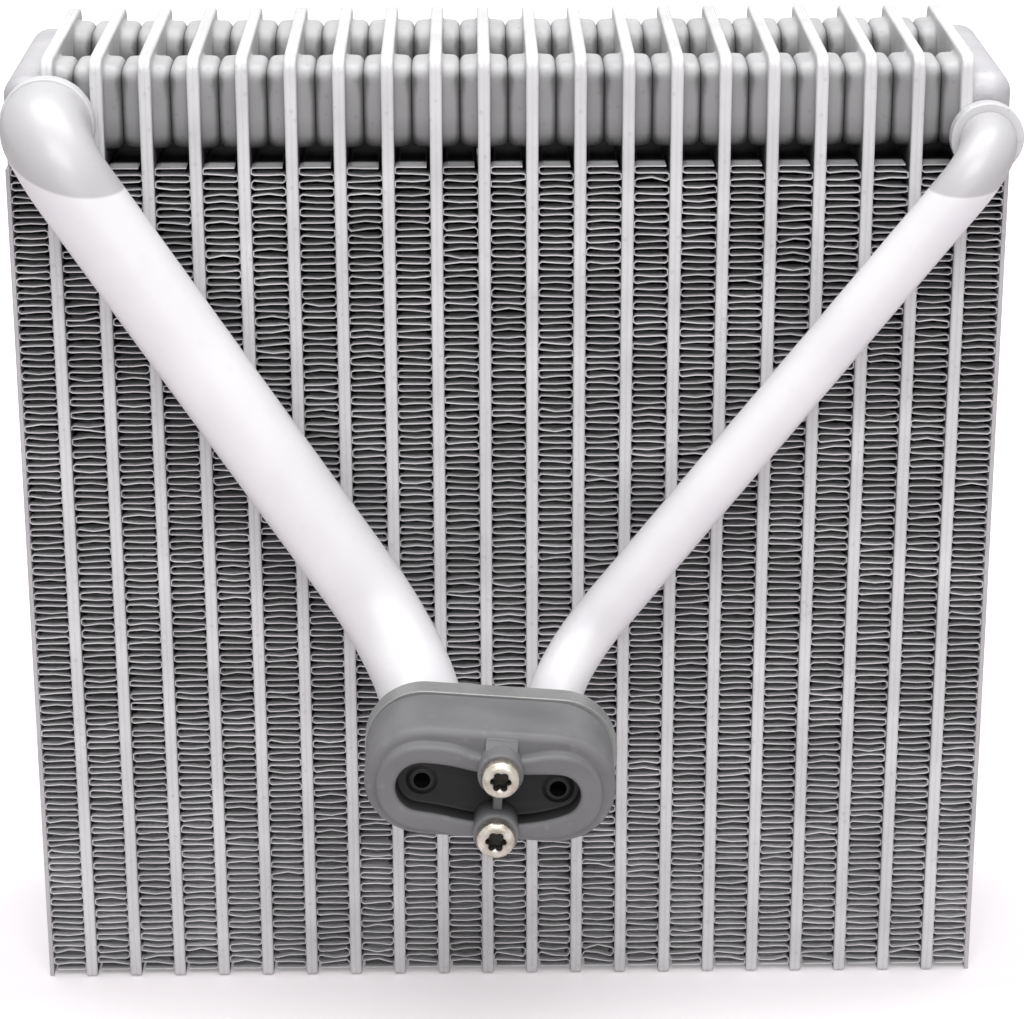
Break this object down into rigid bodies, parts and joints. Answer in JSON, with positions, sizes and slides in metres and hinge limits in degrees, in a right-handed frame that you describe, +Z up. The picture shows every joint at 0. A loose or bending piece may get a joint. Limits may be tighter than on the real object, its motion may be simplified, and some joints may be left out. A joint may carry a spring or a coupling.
{
  "type": "evaporator core",
  "caption": "Laminated plate-and-fin air conditioner evaporator core with drawn-cup tanks, two bent refrigerant pipes, a connection flange and a screwed transport cap.",
  "frame": {"origin": "middle of the core's length and depth, at the level of the plate pairs' lower ends", "axes": "+Z up along the plates, +X along the row of plates towards the small pipe's collar, -Y towards the pipes, the flange and the cap"},
  "size_m": [0.2369, 0.1546, 0.237],
  "materials": {
    "plate_aluminium": "brazed, satin",
    "fin_aluminium": "rolled foil, coated",
    "pipe_aluminium": "drawn, satin",
    "flange_aluminium": "machined",
    "cap_plastic": "moulded, satin",
    "screw_steel": "zinc plated",
    "seal_rubber": "matt"
  },
  "bodies": {
    "root": {"cap_screws": "screw_steel", "connection_flange": "flange_aluminium", "end_tank_left": "plate_aluminium", "end_tank_right": "plate_aluminium", "fin_01": "fin_aluminium", "fin_02": "fin_aluminium", "fin_03": "fin_aluminium", "fin_04": "fin_aluminium", "fin_05": "fin_aluminium", "fin_06": "fin_aluminium", "fin_07": "fin_aluminium", "fin_08": "fin_aluminium", "fin_09": "fin_aluminium", "fin_10": "fin_aluminium", "fin_11": "fin_aluminium", "fin_12": "fin_aluminium", "fin_13": "fin_aluminium", "fin_14": "fin_aluminium", "fin_15": "fin_aluminium", "fin_16": "fin_aluminium", "fin_17": "fin_aluminium", "fin_18": "fin_aluminium", "fin_19": "fin_aluminium", "fin_20": "fin_aluminium", "fin_21": "fin_aluminium", "liquid_collar": "pipe_aluminium", "liquid_pipe": "pipe_aluminium", "liquid_seal": "seal_rubber", "plate_pair_01": "plate_aluminium", "plate_pair_02": "plate_aluminium", "plate_pair_03": "plate_aluminium", "plate_pair_04": "plate_aluminium", "plate_pair_05": "plate_aluminium", "plate_pair_06": "plate_aluminium", "plate_pair_07": "plate_aluminium", "plate_pair_08": "plate_aluminium", "plate_pair_09": "plate_aluminium", "plate_pair_10": "plate_aluminium", "plate_pair_11": "plate_aluminium", "plate_pair_12": "plate_aluminium", "plate_pair_13": "plate_aluminium", "plate_pair_14": "plate_aluminium", "plate_pair_15": "plate_aluminium", "plate_pair_16": "plate_aluminium", "plate_pair_17": "plate_aluminium", "plate_pair_18": "plate_aluminium", "plate_pair_19": "plate_aluminium", "plate_pair_20": "plate_aluminium", "side_plate_left": "plate_aluminium", "side_plate_right": "plate_aluminium", "suction_collar": "pipe_aluminium", "suction_pipe": "pipe_aluminium", "suction_seal": "seal_rubber", "transport_cap": "cap_plastic"}
  },
  "joints": []
}
